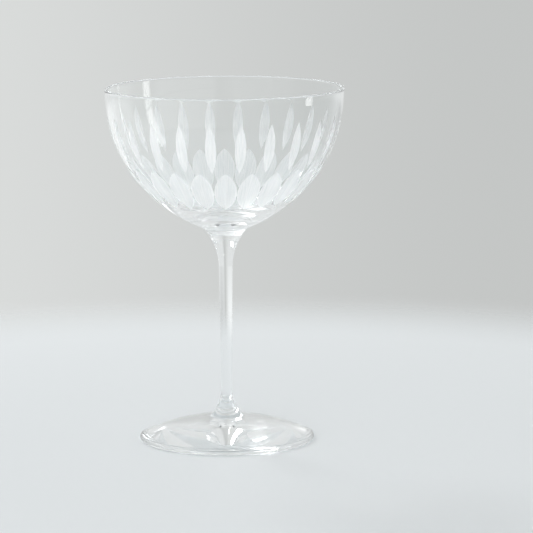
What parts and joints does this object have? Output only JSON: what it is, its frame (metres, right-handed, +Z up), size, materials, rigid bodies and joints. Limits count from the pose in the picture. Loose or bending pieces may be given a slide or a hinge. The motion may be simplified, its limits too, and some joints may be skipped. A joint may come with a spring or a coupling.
{
  "type": "coupe glass",
  "caption": "Stemmed coupe glass: a clear rounded bowl with two rows of matte leaf-shaped wheel cuts, a slim drawn stem flared at both ends, and a low domed foot.",
  "frame": {"origin": "on the glass's axis, in the plane of the surface that the foot stands on", "axes": "+Z up along the glass's axis, from the foot to the rim; one leaf cut faces -Y"},
  "size_m": [0.1106, 0.1106, 0.1648],
  "materials": {
    "bowl_glass": "clear and fire polished, with matte wheel cuts left unpolished",
    "stem_glass": "clear and fire polished",
    "foot_glass": "clear and fire polished"
  },
  "bodies": {
    "root": {"bowl": "bowl_glass", "stem": "stem_glass", "foot": "foot_glass"}
  },
  "joints": []
}
